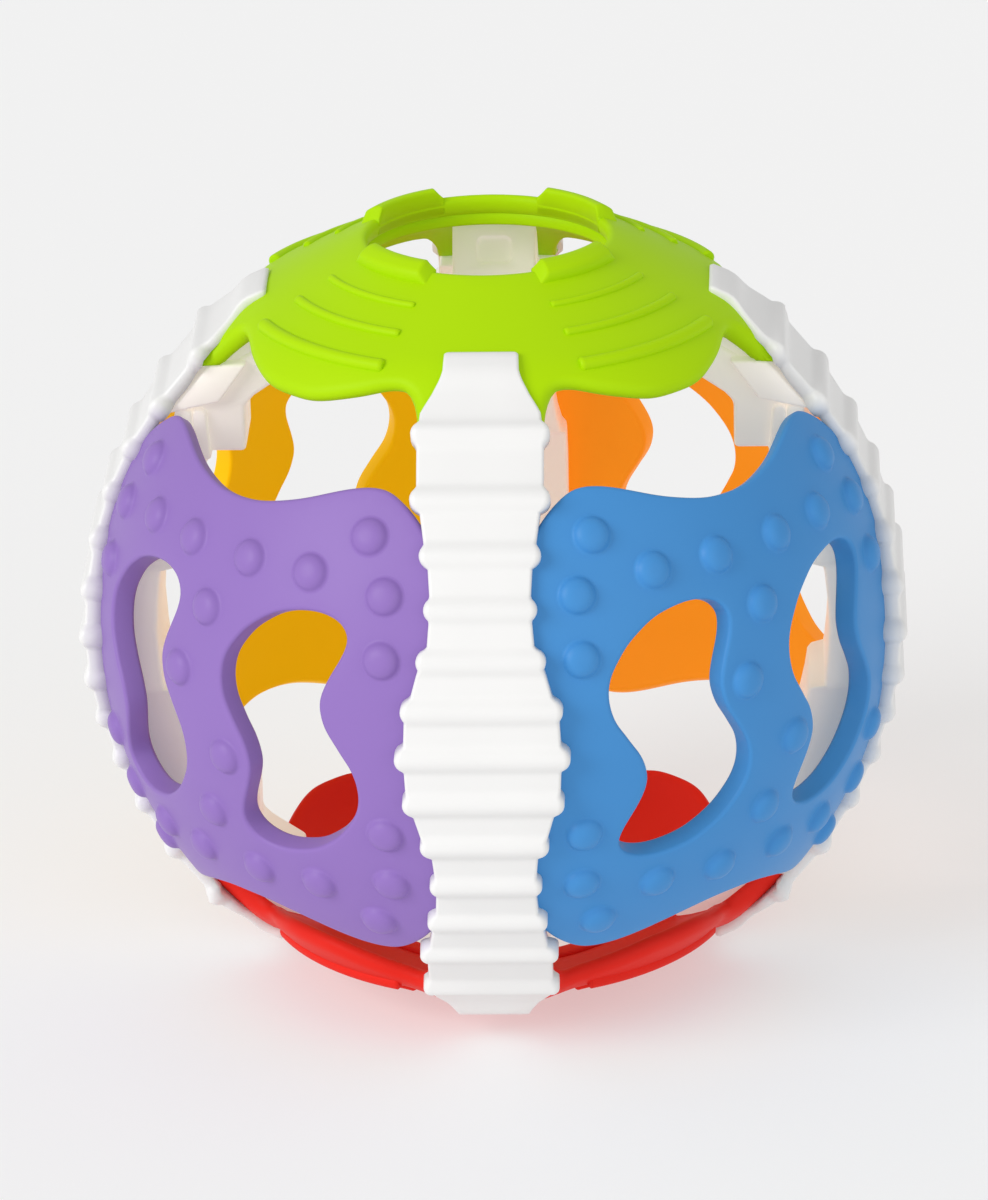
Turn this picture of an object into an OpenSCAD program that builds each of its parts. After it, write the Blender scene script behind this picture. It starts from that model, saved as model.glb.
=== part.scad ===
// Sensory ball: four soft side panels and two soft domes clamped by four two-part bars
// All lengths in millimetres, origin at the centre of the ball, Z up, one bar toward -Y

/* [Ball] */
// outer radius of the soft side panels
skin_r = 60.5; // [50:0.1:75]
// thickness of the side panels
panel_t = 3.5; // [2:0.1:5]
// working gap between clamped pieces
seat_gap = 0.05; // [0.02:0.01:0.2]

/* [Side panel] */
// half length of an S-shaped hole
hole_half = 19.6; // [14:0.1:23]
// distance of a hole centre from the panel centre
hole_off = 15.7; // [13:0.1:19]
// radius of a round bump where it leaves the panel
bump_r = 2.8; // [2:0.1:4]
// height of a round bump
bump_h = 1.3; // [0.6:0.1:2]

/* [Dome] */
// radius of the round hole
rim_r = 18; // [14:0.1:22]
// how far rim, shoulder and foot stand out from the round of the side panels
rim_rise = 2.5; // [1.5:0.1:4]
shoulder_rise = 2.1; // [1.5:0.1:4]
foot_rise = 0.6; // [0.3:0.1:1.5]
// wall thickness of the dome
dome_t = 2.9; // [2:0.1:4]
// half width of a leg
leg_half_w = 9.3; // [7:0.1:11]
// height of the raised rim arcs
arc_h = 1.7; // [1:0.1:3]
// radial width of the raised rim arcs
arc_w = 3; // [2:0.1:4]
// depth of the inner collar below the rim
collar_h = 5.5; // [4:0.1:8]
// radial wall of the inner collar
collar_w = 2.5; // [1.5:0.1:4]
// step between rim edge and collar
collar_step = 0.8; // [0.4:0.1:1.5]
// cross-section radii of the three curved ribs
rib_c1 = 0.6; // [0.4:0.05:1]
rib_c2 = 0.75; // [0.5:0.05:1.2]
rib_c3 = 1.15; // [0.8:0.05:1.8]

/* [Outer strip] */
// thickness of the plate over the side panels
strip_t = 1.25; // [0.8:0.05:2]
// height of the ribs over the plate
rib_stand = 1.15; // [0.6:0.05:1.8]
// cross-section radius of a rib
bead_r = 2.05; // [1.5:0.05:3]
// half width of the strip at the middle
strip_half_w = 11.6; // [9:0.1:15]
// height of the strip end over the dome
strip_end_t = 1.9; // [1.2:0.1:3]
// half width of the cross-wall
web_half_w = 9; // [7:0.1:12]
// height of the cross-wall
web_t = 6; // [4:0.1:8]
// half thickness of the keel between two panel edges
keel_half_w = 2.8; // [2:0.1:4]
// radius of the two round stops under the cross-wall
stop_r = 1.7; // [1.2:0.1:2.2]

/* [Inner strip] */
// half width of the inner strip at the middle
inner_half_w = 10.1; // [8:0.1:13]
// half width of the blocks and lugs
block_half_w = 6.7; // [5:0.1:8]
// thickness of the inner strip at the recess
inner_t = 6; // [4:0.1:8]
// height of a lug, and its gap to the cross-wall
lug_h = 7.1; // [5:0.1:9]
lug_gap = 1.5; // [1:0.1:2.5]
// pocket on the end face: width, height, depth, corner
pocket_w = 5.4; // [4:0.1:7]
pocket_h = 4.2; // [3:0.1:5.5]
pocket_d = 0.7; // [0.4:0.1:1]
pocket_c = 1.4; // [0.8:0.1:1.8]

/* [Hidden] */
$fn = 96;
quarter = 90;
face_r = skin_r + strip_t;
ball_r = face_r + rib_stand;
reach = ball_r * 1.2;
panel_in_r = skin_r - panel_t;
// shares of the side panels' radius: outline, dome shoulder and foot, cross-wall, lug
mid_share = 0.7071;
panel_half_w = skin_r * mid_share;
panel_height_share = 0.6066;
panel_half_h = skin_r * panel_height_share;
shoulder_shares = [0.562, 0.827];
shoulder_r = (skin_r + shoulder_rise) * shoulder_shares[0];
shoulder_z = (skin_r + shoulder_rise) * shoulder_shares[1];
foot_shares = [0.746, 0.666];
foot_r = (skin_r + foot_rise) * foot_shares[0];
foot_z = (skin_r + foot_rise) * foot_shares[1];
rim_z = sqrt((skin_r + rim_rise) * (skin_r + rim_rise) - rim_r * rim_r);
web_top_share = 0.7025;
web_top_z = skin_r * web_top_share;
web_low_z = web_top_z - web_t;
web_in_shares = [0.669, 0.598];
web_low_x = skin_r * web_in_shares[0];
web_top_x = skin_r * web_in_shares[1];
leg_end_z = web_top_z + seat_gap;
lug_in_share = 0.608;
lug_x = skin_r * lug_in_share;
lug_top_z = web_low_z - lug_gap;
lug_low_z = lug_top_z - lug_h;
recess_x = panel_in_r - inner_t;
recess_height_share = 0.355;
recess_z = lug_low_z * recess_height_share;
// half of an S-shaped hole, the other half is the same turned over
hole_shares = [
  [0, 0.975], [0.16, 1], [0.3, 0.98], [0.405, 0.93], [0.455, 0.85], [0.46, 0.77], [0.435, 0.68],
  [0.39, 0.577], [0.34, 0.465], [0.315, 0.352], [0.312, 0.265], [0.332, 0.178], [0.368, 0.1],
  [0.424, 0.01], [0.485, -0.082], [0.54, -0.184], [0.571, -0.296], [0.577, -0.418],
  [0.543, -0.543], [0.475, -0.658], [0.383, -0.76], [0.275, -0.852], [0.143, -0.929]];
// upper right quarter of the panel outline
side_shares = [
  [0, 0.85], [0.093, 0.856], [0.187, 0.88], [0.28, 0.918], [0.374, 0.965], [0.444, 0.992],
  [0.502, 1], [0.561, 0.989], [0.619, 0.954], [0.673, 0.907], [0.724, 0.858], [0.783, 0.817],
  [1, 0.79]];
// bumps: mirrored both ways, and the four round the middle turned over
bump_shares = [[0.556, 0.831], [0.666, 0.621], [0.701, 0.376], [0.397, 0.673], [0.145, 0.673]];
mid_bump_shares = [[0, 0.441], [-0.112, 0.158]];
// one eighth of the dome outline, from the leg to the middle of a lobe
lobe_shares = [
  [0.226, 0.952], [0.24, 0.913], [0.272, 0.887], [0.317, 0.87], [0.411, 0.853], [0.522, 0.822],
  [0.611, 0.781], [0.673, 0.736]];
lobe_reach_share = 0.912;
lobe_r = foot_r * lobe_reach_share;
leg_share = 0.998;
// raised rim arc: share of its width, share of its height
arc_shares = [[1, 0], [0.92, 0.24], [0.45, 1], [0.1, 1], [0, 0.75]];
// places of the curved ribs between rim and shoulder
rib_place_shares = [0.419, 0.721, 1.047];
rib_place = [for (k = rib_place_shares) rim_r + (shoulder_r - rim_r) * k];
rib_lift_share = 0.1;
// rib places on the bar as angles from the middle
rib_angles = [6.8, 13.7, 20.8, 28.2, 36.1, 45.2];
rib_width_shares = [1.112, 1.026, 0.819, 0.716, 0.767, 0.888, 0.879];
rib_count = 6;
last_rib_lift_share = 1.011;
// strip edge: height share of the strip end, width share of the strip
edge_shares = [
  [0, 1], [0.125, 0.974], [0.135, 0.94], [0.262, 0.776], [0.27, 0.69], [0.394, 0.638],
  [0.402, 0.629], [0.526, 0.664], [0.534, 0.69], [0.656, 0.776], [0.664, 0.802], [0.8, 0.802],
  [0.862, 0.767], [0.893, 0.63], [0.945, 0.526], [1, 0.448], [1.05, 0.44]];
// end pad: distance and height as shares of the strip end
pad_shares = [[1.211, 0.9], [1.18, 0.9365], [1.155, 0.9546], [1.115, 0.969]];
pad_in_share = 0.85;
// round stops: place as shares of the skin radius, length as share of the cross-wall
stop_place_shares = [[0.71, 0.546], [0.645, 0.552]];
stop_half_share = 0.91;
// block: distance as share of the recess floor, height as share from recess to lug
block_shares = [[0.939, 0], [0.914, 0.34], [0.875, 0.683], [0.822, 1]];
// end face of the inner strip: shares of the strip end distance and height
end_in_shares = [0.762, 0.806];
end_out_shares = [0.895, 0.946];
inner_edge_shares = [[0, 1], [0.29, 1], [0.33, 0.86], [0.8, 0.663]];
mid_recess_share = 0.984;
web_round_share = 0.12;
pad_width_share = 0.8;
pad_from_share = 1.12;
keel_steps = 6;

function turned(p) = [for (q = p) -q];
function scaled(p, k) = [for (q = p) q * k];
function sized(p, a, b) = [for (q = p) [q[0] * a, q[1] * b]];
function polar(r, a) = [r * cos(a), r * sin(a)];
function rest(p) = [for (i = [1 : len(p) - 1]) p[i]];
function back(p) = [for (i = [len(p) - 1 : -1 : 0]) p[i]];
function flip_x(p) = [for (q = p) [-q[0], q[1]]];
function flip_y(p) = [for (q = p) [q[0], -q[1]]];
// right side of an outline that starts at height 0, and the whole outline from it
function up_down(p) = concat(back(flip_y(rest(p))), p);
function left_right(p) = concat(p, back(flip_x(p)));

// Side panel

hole_half_line = scaled(hole_shares, hole_half);
hole_line = concat(hole_half_line, turned(hole_half_line));
side_line = sized(side_shares, panel_half_w, panel_half_h);
side_top = concat(back(flip_x(rest(side_line))), side_line);
side_all = concat(side_top, back(flip_y(side_top)));

module panel_flat() {
  difference() {
    polygon(side_all);
    translate([hole_off, 0]) polygon(hole_line);
    translate([-hole_off, 0]) polygon(hole_line);
  }
}

// round cap seated on the panel at flat position s, t
module bump(s, t) {
  cap_r = (bump_r * bump_r + bump_h * bump_h) / (2 * bump_h);
  out = sqrt(skin_r * skin_r - s * s - t * t);
  k = (skin_r + bump_h - cap_r) / skin_r;
  translate([s * k, t * k, out * k]) sphere(r = cap_r);
}

module bumps() {
  for (q = bump_shares, a = [-1, 1], b = [-1, 1])
    bump(a * q[0] * panel_half_w, b * q[1] * panel_half_h);
  for (q = mid_bump_shares, a = [-1, 1])
    bump(a * q[0] * panel_half_w, a * q[1] * panel_half_h);
}

// panel facing the diagonal between +X and +Y
module panel_shell() {
  edge = keel_half_w + seat_gap;
  difference() {
    union() {
      intersection() {
        sphere(r = skin_r);
        rotate([quarter, 0, quarter * 1.5]) linear_extrude(height = reach) panel_flat();
        translate([edge, edge, -reach]) cube([reach, reach, reach * 2]);
      }
      rotate([quarter, 0, quarter * 1.5]) bumps();
    }
    sphere(r = panel_in_r);
  }
}

// Dome

slope = atan2(rim_z - shoulder_z, shoulder_r - rim_r);
steep = atan2(shoulder_z - foot_z, foot_r - shoulder_r);
turn = (slope + steep) / 2;
turn_t = dome_t / cos((steep - slope) / 2);
shoulder_in = [shoulder_r - turn_t * sin(turn), shoulder_z - turn_t * cos(turn)];
foot_in = [foot_r - dome_t * sin(steep), foot_z - dome_t * cos(steep)];
rim_in = [rim_r, shoulder_in[1] + (shoulder_in[0] - rim_r) * tan(slope)];

function on_dome(r) = r < shoulder_r ? rim_z - (r - rim_r) * tan(slope)
  : shoulder_z - (r - shoulder_r) * tan(steep);

lobe_line = concat([[leg_half_w, foot_r * leg_share]], scaled(lobe_shares, lobe_r));
lobe_back = [for (i = [len(lobe_line) - 1 : -1 : 0]) [lobe_line[i][1], lobe_line[i][0]]];
lobe_mid = [[lobe_r * mid_share, lobe_r * mid_share]];
lobe_quarter = concat(lobe_line, lobe_mid, lobe_back);

module dome_flat() {
  for (i = [0 : 3]) rotate(i * quarter) polygon(concat([[0, 0]], [[0, foot_r * leg_share]],
    lobe_quarter, [[foot_r * leg_share, 0]]));
}

// room for the dome under the outer strip
module above_seat() {
  z = foot_z + seat_gap;
  low_r = foot_r - (web_top_z - z) / tan(steep);
  rotate([0, 0, quarter * 2]) rotate_extrude($fn = 288) polygon([[0, web_top_z], [low_r, web_top_z],
    [shoulder_r, shoulder_z + seat_gap], [rim_r, rim_z + seat_gap], [0, rim_z + seat_gap]]);
}

// room under the inner face of the dome
module under_dome() {
  low_z = foot_in[1] - seat_gap;
  rotate([0, 0, quarter * 2]) rotate_extrude($fn = 288) polygon([[0, low_z], [foot_in[0], low_z],
    [shoulder_in[0], shoulder_in[1] - seat_gap], [rim_in[0], rim_in[1] - seat_gap],
    [0, rim_in[1] - seat_gap]]);
}

module curved_rib(r, c) {
  for (i = [0 : 3]) rotate([0, 0, i * quarter + quarter * 0.26])
    rotate_extrude(angle = quarter * 0.48)
      translate([r, on_dome(r) + c * rib_lift_share]) circle(r = c);
}

module rim_arc() {
  low = on_dome(rim_r + arc_w) - dome_t * 0.5;
  rotate([0, 0, quarter * 0.25]) rotate_extrude(angle = quarter * 0.5)
    polygon(concat([[rim_r, low], [rim_r + arc_w, low]],
      [for (q = arc_shares) [rim_r + arc_w * q[0], rim_z + arc_h * q[1]]]));
}

module dome() {
  collar_r = rim_r + collar_step;
  intersection() {
    rotate_extrude() polygon([[rim_r, rim_z], [shoulder_r, shoulder_z], [foot_r, foot_z],
      foot_in, shoulder_in, rim_in]);
    translate([0, 0, leg_end_z]) linear_extrude(height = reach) dome_flat();
  }
  rotate_extrude() polygon([[collar_r, rim_z - collar_h],
    [collar_r + collar_w, rim_z - collar_h], [collar_r + collar_w, rim_z - dome_t],
    [collar_r, rim_z - dome_t * 0.6]]);
  for (i = [0 : 3]) rotate([0, 0, i * quarter]) rim_arc();
  curved_rib(rib_place[0], rib_c1);
  curved_rib(rib_place[1], rib_c2);
  curved_rib(rib_place[2], rib_c3);
}

// Outer strip, drawn toward +X

strip_end_share = 0.918;
strip_end_r = shoulder_r * strip_end_share;
strip_end_z = on_dome(strip_end_r) + strip_end_t;
bead_c = ball_r - bead_r;
// rounded rib lying across the strip, made as one turned solid
module bead(half) {
  straight = half - bead_r;
  rotate([quarter, 0, 0]) rotate_extrude() polygon(concat(
    [[0, -half]], [for (i = [1 : 5]) [bead_r * sin(i * 18), -straight - bead_r * cos(i * 18)]],
    [for (i = [5 : -1 : 1]) [bead_r * sin(i * 18), straight + bead_r * cos(i * 18)]],
    [[0, half]]));
}

function face_pt(i) = i == rib_count ? polar(face_r * last_rib_lift_share, rib_angles[i - 1])
  : polar(face_r, i == 0 ? 0 : rib_angles[i - 1]);
strip_upper = concat([for (i = [1 : rib_count]) face_pt(i)],
  sized(pad_shares, strip_end_r, strip_end_z),
  [[strip_end_r, strip_end_z], [strip_end_r, strip_end_z * pad_in_share]]);
strip_side = concat(back(flip_y(strip_upper)), [[face_r, 0]], strip_upper);
strip_edge = [for (q = edge_shares) [q[1] * strip_half_w, q[0] * strip_end_z]];
strip_plan = left_right(up_down(strip_edge));

// ball with its seam turned away from the strip
module ball(r) {
  rotate([0, 0, quarter * 2]) sphere(r = r, $fn = 288);
}

// side outline swept across the strip
module across(half) {
  translate([0, half, 0]) rotate([quarter, 0, 0]) linear_extrude(height = half * 2) children();
}

module strip_plate() {
  intersection() {
    across(reach * 0.5) polygon(strip_side);
    rotate([quarter, 0, quarter]) linear_extrude(height = reach) polygon(strip_plan);
  }
}

module strip_beads() {
  for (i = [-rib_count : rib_count]) {
    n = abs(i);
    a = n == 0 ? 0 : sign(i) * rib_angles[n - 1];
    c = n == rib_count ? bead_c * last_rib_lift_share : bead_c;
    rotate([0, -a, 0]) translate([c, 0, 0]) bead(rib_width_shares[n] * strip_half_w);
  }
}

// thin wall that fills the gap between two panel edges
module keel() {
  mid_r = (skin_r + face_r) * 0.5;
  difference() {
    across(keel_half_w) polygon(concat([[panel_in_r * 0.5, -web_low_z]],
      [for (i = [-keel_steps : keel_steps]) polar(mid_r, i / keel_steps * asin(web_low_z / mid_r))],
      [[panel_in_r * 0.5, web_low_z]]));
    ball(r = panel_in_r);
  }
}

module outer_strip() {
  difference() {
    union() {
      strip_plate();
      strip_beads();
    }
    ball(r = skin_r + seat_gap);
    for (m = [0, 1]) mirror([0, 0, m]) above_seat();
  }
  keel();
}

// Inner strip, drawn toward +X

block_h = lug_low_z - recess_z;
block_line = [for (q = block_shares) [q[0] * recess_x, recess_z + q[1] * block_h]];
lug_line = [[lug_x, lug_low_z], [lug_x, lug_top_z], [lug_x - lug_gap, web_low_z]];
inner_edge = [for (q = inner_edge_shares) [q[1] * inner_half_w, q[0] * lug_top_z]];
inner_plan = left_right(up_down(concat(inner_edge, [[block_half_w, reach]])));
end_in = [end_in_shares[0] * strip_end_r, end_in_shares[1] * strip_end_z];
end_out = [end_out_shares[0] * strip_end_r, end_out_shares[1] * strip_end_z];
end_angle = atan2(end_out[1] - end_in[1], end_out[0] - end_in[0]);

inner_upper = concat([[recess_x * mid_recess_share, recess_z]], block_line, lug_line,
  [end_in, end_in + (end_out - end_in) * 2]);
inner_side = concat(back(flip_y(inner_upper)), [[recess_x, 0]], inner_upper, [[reach, reach]],
  [[reach, -reach]]);

module inner_body() {
  intersection() {
    ball(r = panel_in_r - seat_gap);
    across(reach * 0.5) polygon(inner_side);
    rotate([quarter, 0, quarter]) linear_extrude(height = reach) polygon(inner_plan);
  }
}

// pad that holds the dome leg from inside
module leg_pad() {
  intersection() {
    across(block_half_w * pad_width_share) polygon([
      end_in * pad_from_share, end_out, [foot_in[0], foot_in[1] + web_t],
      [web_low_x, web_top_z - web_t * 0.5]]);
    under_dome();
  }
}

// shallow pocket on the end face
module end_pocket() {
  mid = (end_in + end_out) * 0.5;
  a = pocket_h * 0.5;
  b = pocket_w * 0.5;
  translate([mid[0], 0, mid[1]]) rotate([0, -end_angle, 0]) translate([0, 0, -pocket_d])
    linear_extrude(height = pocket_h)
      polygon([[a, b - pocket_c], [a - pocket_c, b], [pocket_c - a, b], [-a, b - pocket_c],
        [-a, pocket_c - b], [pocket_c - a, -b], [a - pocket_c, -b], [a, pocket_c - b]]);
}

// cross-wall between the panel edge and the dome leg, with its two round stops
module web() {
  c = web_t * web_round_share;
  s = [web_low_x - web_top_x, -web_t] / web_t * c;
  intersection() {
    across(web_half_w) polygon([[web_top_x + c, web_top_z], [web_top_x, web_top_z] + s,
      [web_low_x, web_low_z] - s, [web_low_x + c, web_low_z], [reach, web_low_z],
      [reach, web_top_z]]);
    ball(r = skin_r);
  }
  for (q = stop_place_shares) translate([q[0] * skin_r, 0, q[1] * skin_r])
    rotate([quarter, 0, 0])
      cylinder(r = stop_r, h = web_half_w * stop_half_share * 2, center = true);
}

module inner_strip() {
  difference() {
    inner_body();
    for (m = [0, 1]) mirror([0, 0, m]) end_pocket();
  }
  for (m = [0, 1]) mirror([0, 0, m]) {
    leg_pad();
    web();
  }
}

// Named pieces

module top_dome() color("#9BD400") dome();
module bottom_dome() color("#E3342A") mirror([0, 0, 1]) dome();
module panel_front_left() color("#A07CD2") rotate([0, 0, quarter * 2]) panel_shell();
module panel_front_right() color("#4690D0") rotate([0, 0, -quarter]) panel_shell();
module panel_back_right() color("#F7921E") panel_shell();
module panel_back_left() color("#F5B700") rotate([0, 0, quarter]) panel_shell();
module outer_strip_front() color("#F4F4F2") rotate([0, 0, -quarter]) outer_strip();
module outer_strip_right() color("#F4F4F2") outer_strip();
module outer_strip_back() color("#F4F4F2") rotate([0, 0, quarter]) outer_strip();
module outer_strip_left() color("#F4F4F2") rotate([0, 0, quarter * 2]) outer_strip();
module inner_strip_front() color("#E9E6E2") rotate([0, 0, -quarter]) inner_strip();
module inner_strip_right() color("#E9E6E2") inner_strip();
module inner_strip_back() color("#E9E6E2") rotate([0, 0, quarter]) inner_strip();
module inner_strip_left() color("#E9E6E2") rotate([0, 0, quarter * 2]) inner_strip();

top_dome();
bottom_dome();
panel_front_left();
panel_front_right();
panel_back_right();
panel_back_left();
outer_strip_front();
outer_strip_right();
outer_strip_back();
outer_strip_left();
inner_strip_front();
inner_strip_right();
inner_strip_back();
inner_strip_left();
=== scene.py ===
import math

import bmesh
import bpy
import numpy as np
from mathutils import Matrix, Vector
from mathutils.geometry import delaunay_2d_cdt


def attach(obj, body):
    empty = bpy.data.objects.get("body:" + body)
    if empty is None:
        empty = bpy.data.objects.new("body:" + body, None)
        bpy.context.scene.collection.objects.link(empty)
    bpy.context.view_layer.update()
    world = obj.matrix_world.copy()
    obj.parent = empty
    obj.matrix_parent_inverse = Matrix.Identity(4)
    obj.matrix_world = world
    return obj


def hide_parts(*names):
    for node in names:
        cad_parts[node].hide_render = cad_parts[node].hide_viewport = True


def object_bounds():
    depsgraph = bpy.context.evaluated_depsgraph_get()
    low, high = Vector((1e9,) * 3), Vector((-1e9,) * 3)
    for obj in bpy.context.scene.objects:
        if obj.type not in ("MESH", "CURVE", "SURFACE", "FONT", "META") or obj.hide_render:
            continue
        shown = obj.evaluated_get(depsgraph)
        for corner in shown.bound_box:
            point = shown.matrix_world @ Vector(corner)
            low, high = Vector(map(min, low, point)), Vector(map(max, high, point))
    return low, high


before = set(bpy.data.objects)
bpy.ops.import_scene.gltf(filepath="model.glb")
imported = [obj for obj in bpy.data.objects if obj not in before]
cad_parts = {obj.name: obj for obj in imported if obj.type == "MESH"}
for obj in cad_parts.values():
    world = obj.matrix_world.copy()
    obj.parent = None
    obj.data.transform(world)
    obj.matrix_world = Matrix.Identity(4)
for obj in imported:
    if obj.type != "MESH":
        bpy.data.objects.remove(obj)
cad_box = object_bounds()

# Lengths are in millimetres, and MM turns them into metres where a mesh is made
MM = 0.001

# Half width over the strips' ribs and half height over the rim arcs, from the frame
HALF_WIDTH = round(cad_box[1][0] / MM, 2)
HALF_HEIGHT = round(cad_box[1][2] / MM, 2)

# Inner face of the outer strips, and the floor under the pressed-in bottom dome
SKIN_R = HALF_WIDTH - 2.35
FLOOR_Z = 5.37 - HALF_HEIGHT


# Outlines

# A corner's rounding takes at most this share of each side, and has this many steps
CORNER_SHARE, CORNER_STEPS = 0.45, 4
# Keeps a division by a length of zero away
TINY = 1e-12


def smooth_loop(points, step):
    """Closed smooth line through the points, walked at about the given step."""
    p = np.asarray(points, float)
    n = len(p)
    chord = np.linalg.norm(np.roll(p, -1, 0) - p, axis=1)
    m, rhs = np.zeros((n, n)), np.zeros((n, 2))
    for i in range(n):
        a, b, j = chord[i - 1], chord[i], (i + 1) % n
        m[i, i - 1] += a
        m[i, i] += 2 * (a + b)
        m[i, j] += b
        rhs[i] = 6 * ((p[j] - p[i]) / b - (p[i] - p[i - 1]) / a)
    c = np.linalg.solve(m, rhs)
    out = []
    for i in range(n):
        h, j = chord[i], (i + 1) % n
        k = max(1, int(round(h / step)))
        t = (np.arange(k) / k * h)[:, None]
        out.append((c[i] * (h - t) ** 3 + c[j] * t ** 3) / (6 * h)
                   + (p[i] / h - c[i] * h / 6) * (h - t) + (p[j] / h - c[j] * h / 6) * t)
    return np.vstack(out)


def turning(loop):
    """Area of a flat loop, above zero where it runs anticlockwise."""
    x, y = loop[:, 0], loop[:, 1]
    return 0.5 * np.sum(x * np.roll(y, -1) - np.roll(x, -1) * y)


def facing(loop, anticlockwise):
    return loop if (turning(loop) > 0) == anticlockwise else loop[::-1]


def inset(loop, distance):
    """Moves a loop to its left, into the material."""
    d = np.roll(loop, -1, 0) - np.roll(loop, 1, 0)
    d /= np.linalg.norm(d, axis=1)[:, None]
    return loop + np.stack([-d[:, 1], d[:, 0]], 1) * distance


def inside(points, loop):
    x, y = points[:, 0], points[:, 1]
    hit = np.zeros(len(points), bool)
    for a, b in zip(loop, np.roll(loop, -1, 0)):
        cross = (a[1] > y) != (b[1] > y)
        hit ^= cross & (x < (b[0] - a[0]) * (y - a[1]) / (b[1] - a[1] + TINY) + a[0])
    return hit


def in_material(points, loops):
    """Points inside the first loop and outside the others."""
    hit = inside(points, loops[0])
    for loop in loops[1:]:
        hit &= ~inside(points, loop)
    return hit


def rounded_profile(points, radius):
    """Rounds the corners of a closed profile, each by its own radius."""
    p = [np.array(q, float) for q in points]
    out = []
    for i, q in enumerate(p):
        a, b = p[i - 1] - q, p[(i + 1) % len(p)] - q
        la, lb = np.linalg.norm(a), np.linalg.norm(b)
        r = min(radius[i], la * CORNER_SHARE, lb * CORNER_SHARE)
        if r <= 0:
            out.append(q)
            continue
        s, e = q + a / la * r, q + b / lb * r
        for t in np.linspace(0, 1, CORNER_STEPS + 1):
            out.append((1 - t) ** 2 * s + 2 * t * (1 - t) * q + t * t * e)
    return np.array(out)


def eased(x, start, end):
    """0 up to start, 1 from end on, smooth between."""
    t = np.clip((np.asarray(x, float) - start) / (end - start), 0, 1)
    return t * t * (3 - 2 * t)


# Meshes and pieces

# Points closer than this become one: of a mesh, in metres, and of a flat net, in millimetres
WELD, NET_WELD = 1e-6, 1e-6
# Steps round a moulded edge, round a bevelled one, and round the whole upright axis
LIP_STEPS, BEVEL_STEPS, TURN_STEPS = 6, 3, 120
# Spacing of the points over a moulded wall, height of a row of them as a share of the
# spacing, and how far they keep from an edge, as a share too
GRID, ROW, EDGE_CLEAR = 1.3, 0.866, 0.6
# Edges that turn by more than this are bevelled, in degrees
SHARP = 25


def placed(name, data):
    """New object with the given mesh, lamp or camera."""
    o = bpy.data.objects.new(name, data)
    bpy.context.collection.objects.link(o)
    return o


def mesh_piece(name, verts, faces):
    """Smooth piece from points in mm, with its faces turned outward."""
    me = bpy.data.meshes.new(name)
    me.from_pydata((np.asarray(verts) * MM).tolist(), [], faces)
    me.validate()
    bm = bmesh.new()
    bm.from_mesh(me)
    bmesh.ops.remove_doubles(bm, verts=bm.verts, dist=WELD)
    bmesh.ops.recalc_face_normals(bm, faces=bm.faces)
    for f in bm.faces:
        f.smooth = True
    bm.to_mesh(me)
    bm.free()
    return placed(name, me)


def baked(piece):
    """Keeps what a piece's modifiers make as its plain mesh."""
    dg = bpy.context.evaluated_depsgraph_get()
    me = bpy.data.meshes.new_from_object(piece.evaluated_get(dg))
    piece.modifiers.clear()
    piece.data = me
    return piece


def softened(piece, width):
    """Rounds the edges of a piece."""
    mod = piece.modifiers.new("round", "BEVEL")
    mod.width = width * MM
    mod.segments = BEVEL_STEPS
    mod.limit_method = "ANGLE"
    mod.angle_limit = math.radians(SHARP)
    baked(piece)
    for f in piece.data.polygons:
        f.use_smooth = True
    return piece


def reshaped(piece, shift):
    """Moves every point of a piece by shift(points in mm)."""
    n = len(piece.data.vertices)
    co = np.empty(n * 3)
    piece.data.vertices.foreach_get("co", co)
    co = shift(co.reshape(n, 3) / MM) * MM
    piece.data.vertices.foreach_set("co", co.ravel())
    piece.data.update()
    return piece


def turned_copy(piece, name, matrix):
    """Copy of a piece with its place in its mesh."""
    me = piece.data.copy()
    me.name = name
    me.transform(matrix)
    if matrix.determinant() < 0:
        me.flip_normals()
    return placed(name, me)


def about_z(degrees):
    return Matrix.Rotation(math.radians(degrees), 4, "Z")


UPSIDE = Matrix.Diagonal((1, 1, -1, 1))


def joined(name, pieces):
    bm = bmesh.new()
    for p in pieces:
        bm.from_mesh(p.data)
    me = bpy.data.meshes.new(name)
    bm.to_mesh(me)
    bm.free()
    for p in pieces:
        bpy.data.objects.remove(p)
    return placed(name, me)


def dressed(piece, finish):
    piece.data.materials.clear()
    piece.data.materials.append(finish)


def flat_net(outline, core):
    """Even triangles between the core loops. Gives their points, the triangles, and where each
    loop point is among the points."""
    lo, hi = outline.min(0), outline.max(0)
    rows = []
    for i, y in enumerate(np.arange(lo[1], hi[1], GRID * ROW)):
        x = np.arange(lo[0] + (i % 2) * GRID / 2, hi[0], GRID)
        rows.append(np.stack([x, np.full(len(x), y)], 1))
    field, rim = np.vstack(rows), np.vstack(core)
    field = field[in_material(field, core)]
    near = np.array([np.min(np.sum((rim - q) ** 2, 1)) for q in field])
    field = field[near > (GRID * EDGE_CLEAR) ** 2]
    edges, start = [], 0
    for loop in core:
        n = len(loop)
        edges += [(start + i, start + (i + 1) % n) for i in range(n)]
        start += n
    net = delaunay_2d_cdt([Vector(q) for q in np.vstack([rim, field])], edges, [], 0, NET_WELD)
    spots = np.array([tuple(v) for v in net[0]])
    tri = np.array([list(f) for f in net[2] if len(f) == 3])
    tri = tri[in_material(spots[tri].mean(1), core)]
    a, b, c = (spots[tri[:, i]] for i in range(3))
    wrong = np.cross(b - a, c - a) < 0
    tri[wrong] = tri[wrong][:, ::-1]
    where = {k: i for i, origin in enumerate(net[3]) for k in origin}
    return spots, tri, where


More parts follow.
